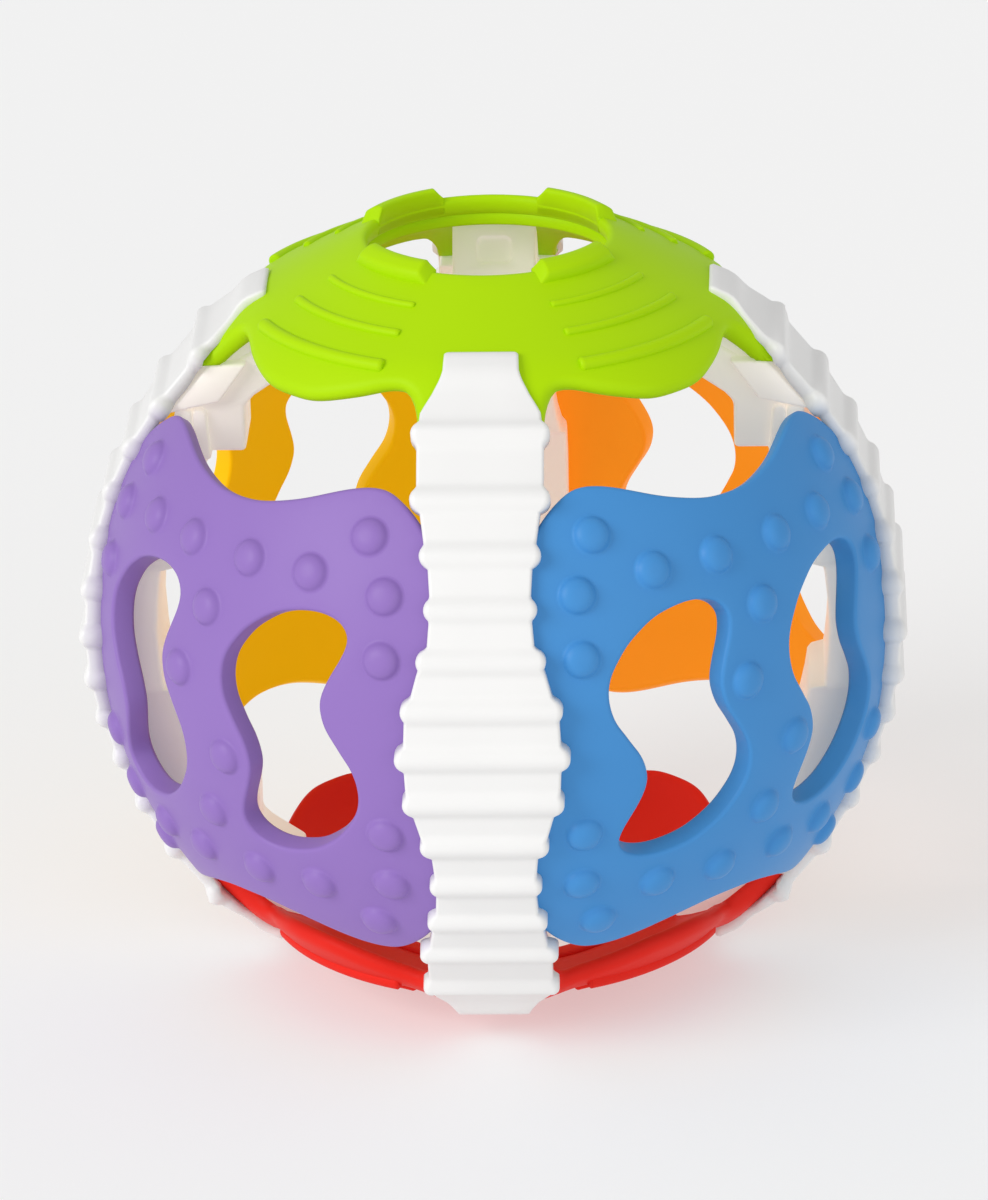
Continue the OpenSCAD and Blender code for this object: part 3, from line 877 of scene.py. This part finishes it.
# Outer and inner points of the tail, from the last rib to the end over the dome
TAIL = [((44.62, 44.95), (42.75, 43.4)), ((44.3, 45.24), (42.5, 43.7)),
        ((43.95, 45.47), (42.25, 43.95)), ((43.55, 45.63), (42.0, 44.2)),
        ((43.15, 45.75), (41.75, 44.45)), ((42.7, 45.92), (41.4, 44.8)),
        ((42.2, 46.2), (40.9, 45.3)), ((41.6, 46.68), (40.4, 45.8)),
        ((40.8, 47.4), (39.6, 46.6)), ((39.4, 48.7), (38.2, 47.8)),
        ((38.6, 49.6), (37.3, 48.6)), ((38.1, 50.3), (36.6, 49.3)),
        ((37.6, 50.95), (36.0, 49.9)), ((36.95, 51.6), (35.3, 50.5)),
        ((36.1, 52.15), (34.7, 50.95)), ((34.9, 52.7), (33.9, 51.4)),
        ((33.9, 53.15), (33.4, 51.7)), ((33.4, 53.35), (33.1, 51.9))]
# The rounding of the edges is EDGE_ROUND, and more by RIB_ROUND times the rib's height
EDGE_ROUND, RIB_ROUND, ROUND_STEPS = 0.5, 0.6, 6
# The underside follows the panels' round up to the first height and is flat from the second
ROUND_TO, FLAT_FROM = 40, 44
# Groove along each edge of the underside
GROOVE_W, GROOVE_T = 1.2, 0.2
# The last section is smaller by END_IN at each side and by END_FLAT in its height
END_IN, END_FLAT = 0.3, 0.6


def arc_point(r, a):
    return np.array([r * math.cos(math.radians(a)), r * math.sin(math.radians(a))])


def rib_at(o):
    """How far along the strip the nearest rib is from an outer point, and which it is."""
    a = math.degrees(math.atan2(abs(o[1]), o[0]))
    d = [abs(a - rib) * math.radians(1) * STRIP_FACE_R for rib in RIB_ANGLES]
    k = int(np.argmin(d))
    return d[k], k


def rib_rise(o):
    return float(np.interp(rib_at(o)[0], *zip(*RIB_RISE)))


def strip_stations():
    """Outer and inner points of the strip, from the middle to the end."""
    rows = []
    for a0, a1 in zip(RIB_ANGLES, RIB_ANGLES[1:]):
        face = TAIL_FACE_R if a1 == RIB_ANGLES[-1] else STRIP_FACE_R
        o0, o1 = arc_point(STRIP_FACE_R, a0), arc_point(face, a1)
        for t in np.linspace(0, 1, RIB_STEPS)[:-1]:
            o = o0 + (o1 - o0) * t
            a = math.degrees(math.atan2(o[1], o[0]))
            rows.append((o + arc_point(rib_rise(o), a), arc_point(SKIN_R - SKIN_OVERLAP, a)))
    return rows + [(np.array(o), np.array(i)) for o, i in TAIL]


def strip_half(o):
    """Half width of the plate at an outer point: it swells round the end of every rib."""
    half = np.array(PLATE_HALF)
    w = float(np.interp(abs(o[1]), half[:, 0], half[:, 1]))
    d, k = rib_at(o)
    if d < RIB_R:
        w = max(w, RIB_HALF[k] - RIB_R + math.sqrt(RIB_R ** 2 - d * d))
    return w


def strip_section(o, thick, last):
    """Section of the strip at an outer point: places across and above its inner point."""
    w = strip_half(o)
    c = min(EDGE_ROUND + RIB_ROUND * rib_rise(o), thick * 0.5)
    curved = 1 - float(eased(abs(o[1]), ROUND_TO, FLAT_FROM))
    low = (math.sqrt(SKIN_R ** 2 - w * w) - SKIN_R) * curved
    turn = [(c * (1 - math.cos(a)), c * (1 - math.sin(a)))
            for a in np.linspace(0, math.pi / 2, ROUND_STEPS)]
    flat = [(-w, low)] + [(x - w, thick - z) for x, z in turn]
    flat += [(-w / 3, thick), (w / 3, thick)]
    flat += [(w - x, thick - z) for x, z in turn[::-1]] + [(w, low)]
    flat += [(w - GROOVE_W, low - GROOVE_T), (0, 0), (GROOVE_W - w, low - GROOVE_T)]
    if last:
        flat = [(a * (w - END_IN) / w, thick / 2 + (b - thick / 2) * END_FLAT)
                for a, b in flat]
    return flat


def make_outer_strip():
    """Plate and ribs in one skin."""
    rows = strip_stations()
    full = [(np.array([o[0], -o[1]]), np.array([i[0], -i[1]])) for o, i in rows[:0:-1]] + rows
    verts = []
    for k, (o, i) in enumerate(full):
        up = o - i
        thick = np.linalg.norm(up)
        for a, b in strip_section(o, thick, k in (0, len(full) - 1)):
            q = i + up / thick * b
            verts.append((a, -q[0], q[1]))
    m = len(verts) // len(full)
    return mesh_piece("strip", verts, between_rings(len(full), m) + end_faces(len(full), m))


def ring_of_four(piece, prefix, node, finish):
    for name, turn in (("front", 0), ("right", 90), ("back", 180), ("left", -90)):
        o = turned_copy(piece, prefix + name, about_z(turn))
        dressed(o, finish)
        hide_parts(node + name)
        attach(o, "root")
    bpy.data.objects.remove(piece)


# Inner strips, drawn toward -Y: distance from the upright axis and height

def on_round(radius, z):
    return (math.sqrt(radius ** 2 - z * z), z)


# Rounds that the lugs and the cross-walls end at
LUG_R, CROSS_R = 56.5, 59.6
# Name, outline, half width and rounding of the blocks at each end of a strip
LUG = ("lug", [
    (36.8, 27.9), (36.8, 35.2), (35.4, 36.7), (30.0, 40.4), (33.0, 45.5), (41.5, 40.5),
    on_round(LUG_R, 33), on_round(LUG_R, 27.9)], 6.7, 0.7)
BLOCKS = [
    ("leg rest", [(30.9, 51.9), (41.9, 41.2), (38.5, 39.2), (29.2, 48.5)], 5.4, 0.4),
    ("cross wall", [(36.2, 42.5), (40.5, 36.5), on_round(CROSS_R, 34.7),
                    on_round(CROSS_R, 42.5)], 8.9, 0.5),
    ("front knob", [(44.7, 29.0), (44.7, 34.6), (45.6, 35.4), (46.7, 35.4), (47.4, 34.6),
                    (47.4, 29.0)], 8.3, 0.55),
    ("rear knob", [(42.0, 27.0), (42.6, 34.4), (43.3, 35.1), (44.3, 35.0), (44.8, 34.2),
                   (44.6, 27.0)], 7.9, 0.5)]
# Height, distance and half width of the wall behind the panels' edges, its outer round and
# the rounding of its inner edges
BACK_WALL = [(0, 51.0, 10.1), (5, 50.7, 10.1), (8.8, 50.3, 10.0), (9.7, 50.1, 9.9),
             (10.1, 48.2, 9.6), (10.6, 47.7, 9.2), (13, 47.3, 8.6), (16, 46.6, 8.2),
             (19, 45.7, 7.8), (22.2, 44.6, 7.4), (25, 43.4, 7.0), (28.5, 41.6, 6.8)]
BACK_WALL_R, BACK_WALL_LIP = 56.85, 0.6
# End plate: lower and upper end of its face, half width, thickness and roundings, and its
# recess as half width, half height, corner radius and depth
PLATE_LOW, PLATE_HIGH = np.array([24.6, 44.4]), np.array([28.9, 52.1])
PLATE_W, PLATE_T, PLATE_CORNER, PLATE_LIP = 6.4, 14, 0.6, 0.5
RECESS = [(2.9, 2.3, 1.3, 0), (2.75, 2.15, 1.2, 0.12), (2.65, 2.05, 1.1, 0.45),
          (2.45, 1.85, 1.0, 0.68), (2.2, 1.6, 0.8, 0.75)]
PLATE_CORNER_STEPS = 6
# Share of a rounding at which its middle point lies
ROUND_MID = 0.3


def rounded_block(name, side, half, rounding):
    """Block with the given side outline and half width."""
    n = len(side)
    verts = [(half, -d, z) for d, z in side] + [(-half, -d, z) for d, z in side]
    faces = [tuple(range(n)), tuple(range(2 * n - 1, n - 1, -1))]
    faces += [(i, (i + 1) % n, n + (i + 1) % n, n + i) for i in range(n)]
    return softened(mesh_piece(name, verts, faces), rounding)


def both_ways(piece):
    return [piece, turned_copy(piece, piece.name, UPSIDE)]


def inner_back():
    """Long inner wall behind the panels' edges, with its shallow recess in the middle."""
    rows = [(-z, d, w) for z, d, w in BACK_WALL[:0:-1]] + BACK_WALL
    c, mid = BACK_WALL_LIP, BACK_WALL_LIP * ROUND_MID
    verts = []
    for z, d, w in rows:
        out = math.sqrt(BACK_WALL_R ** 2 - z * z - w * w * 0.5)
        for a, b in ((w, d + c), (w - mid, d + mid), (w - c, d), (c - w, d),
                     (mid - w, d + mid), (-w, d + c), (-w, out), (w, out)):
            verts.append((a, -b, z))
    m = len(verts) // len(rows)
    return mesh_piece("inner back", verts, between_rings(len(rows), m) + end_faces(len(rows), m))


def end_plate():
    """Plate under the dome, with the rounded recess in its end face."""
    size = float(np.linalg.norm(PLATE_HIGH - PLATE_LOW))
    along = (PLATE_HIGH - PLATE_LOW) / size
    into = np.array([along[1], -along[0]])

    def ring(a, b, r, deep):
        """Rounded oblong of half sizes a across and b up on the end face."""
        out = []
        for i, (sx, sy) in enumerate(((1, 1), (-1, 1), (-1, -1), (1, -1))):
            for t in np.linspace(0, math.pi / 2, PLATE_CORNER_STEPS) + math.pi / 2 * i:
                x, y = sx * (a - r) + r * math.cos(t), sy * (b - r) + r * math.sin(t)
                q = PLATE_LOW + along * (size / 2 + y) + into * deep
                out.append((x, -q[0], q[1]))
        return out
    lip, mid = PLATE_LIP, PLATE_LIP * ROUND_MID
    rings = [ring(PLATE_W - back, size / 2 - back, PLATE_CORNER, deep)
             for back, deep in ((0, PLATE_T), (0, lip), (mid, mid), (lip, 0))]
    rings += [ring(*step) for step in RECESS]
    m = len(rings[0])
    return mesh_piece("end plate", [q for r in rings for q in r],
                      between_rings(len(rings), m) + end_faces(len(rings), m))


def make_inner_strip():
    parts = [inner_back()] + both_ways(rounded_block(*LUG)) + both_ways(end_plate())
    for block in BLOCKS:
        parts += both_ways(rounded_block(*block))
    return joined("inner strip", parts)


# Stage, lights and camera

# Pale table that glows a little, so that shadows on it stay light: half side in metres
FLOOR_HALF, FLOOR_GREY, FLOOR_GLOW = 6.0, 0.5, 0.44
FLOOR_ROUGHNESS, FLOOR_SPECULAR = 0.9, 0.1
# Strengths of the studio's white walls and of the two lamps, which way the lamps stand, and
# how wide they look, in radians
SKY = 0.60
KEY, KEY_TOWARD, KEY_WIDTH = 1.6, (-0.70, -0.55, 0.46), 0.6
FILL, FILL_TOWARD, FILL_WIDTH = 0.7, (0.6, -0.79, 0.12), 1.2
# Camera: height and turn in degrees, distance and aim in metres, lens in millimetres, and
# how the picture is shifted, in pixels of its height, and tilted, in degrees
VIEW_UP, VIEW_TURN, VIEW_TILT = 21.406, 2.135775, -1.17
VIEW_DISTANCE, VIEW_AIM, VIEW_FAR = 1.25, (0, 0, 0.0003), 50
LENS, SENSOR = 245.5, 36
PICTURE_H, SHIFT_X, SHIFT_Y = 1200, -0.7, 3.7


def floor():
    s, z = FLOOR_HALF, FLOOR_Z * MM
    me = bpy.data.meshes.new("floor")
    me.from_pydata([(-s, -s, z), (s, -s, z), (s, s, z), (-s, s, z)], [], [(0, 1, 2, 3)])
    mat = bpy.data.materials.new("pale floor")
    mat.use_nodes = True
    shader = mat.node_tree.nodes["Principled BSDF"]
    shader.inputs["Base Color"].default_value = (FLOOR_GREY, FLOOR_GREY, FLOOR_GREY, 1)
    shader.inputs["Emission Color"].default_value = (1, 1, 1, 1)
    shader.inputs["Emission Strength"].default_value = FLOOR_GLOW
    shader.inputs["Roughness"].default_value = FLOOR_ROUGHNESS
    shader.inputs["Specular IOR Level"].default_value = FLOOR_SPECULAR
    me.materials.append(mat)
    placed("floor", me)


def lamp(name, toward, strength, width):
    data = bpy.data.lights.new(name, "SUN")
    data.energy = strength
    data.angle = width
    placed(name, data).rotation_euler = Vector(toward).to_track_quat("Z", "Y").to_euler()


def lights():
    world = bpy.data.worlds.new("studio")
    bpy.context.scene.world = world
    world.use_nodes = True
    back = world.node_tree.nodes["Background"]
    back.inputs["Color"].default_value = (1, 1, 1, 1)
    back.inputs["Strength"].default_value = SKY
    lamp("key", KEY_TOWARD, KEY, KEY_WIDTH)
    lamp("fill", FILL_TOWARD, FILL, FILL_WIDTH)


def camera():
    up, turn = math.radians(VIEW_UP), math.radians(VIEW_TURN)
    aim = Vector(VIEW_AIM)
    place = aim + VIEW_DISTANCE * Vector((math.sin(turn) * math.cos(up),
                                          -math.cos(turn) * math.cos(up), math.sin(up)))
    data = bpy.data.cameras.new("camera")
    data.sensor_fit = "VERTICAL"
    data.sensor_height = SENSOR
    data.lens = LENS
    data.shift_x = SHIFT_X / PICTURE_H
    data.shift_y = SHIFT_Y / PICTURE_H
    data.clip_end = VIEW_FAR
    o = placed("camera", data)
    look = (aim - place).to_track_quat("-Z", "Y").to_matrix().to_4x4()
    tilt = Matrix.Rotation(math.radians(VIEW_TILT), 4, "Z")
    o.matrix_world = Matrix.Translation(place) @ look @ tilt
    bpy.context.scene.camera = o


bpy.context.scene.view_settings.view_transform = "Standard"
side_panels()
domes()
ring_of_four(make_outer_strip(), "ribbed_strip_", "outer_strip_", WHITE)
ring_of_four(make_inner_strip(), "clamping_strip_", "inner_strip_", INNER_WHITE)
floor()
lights()
camera()
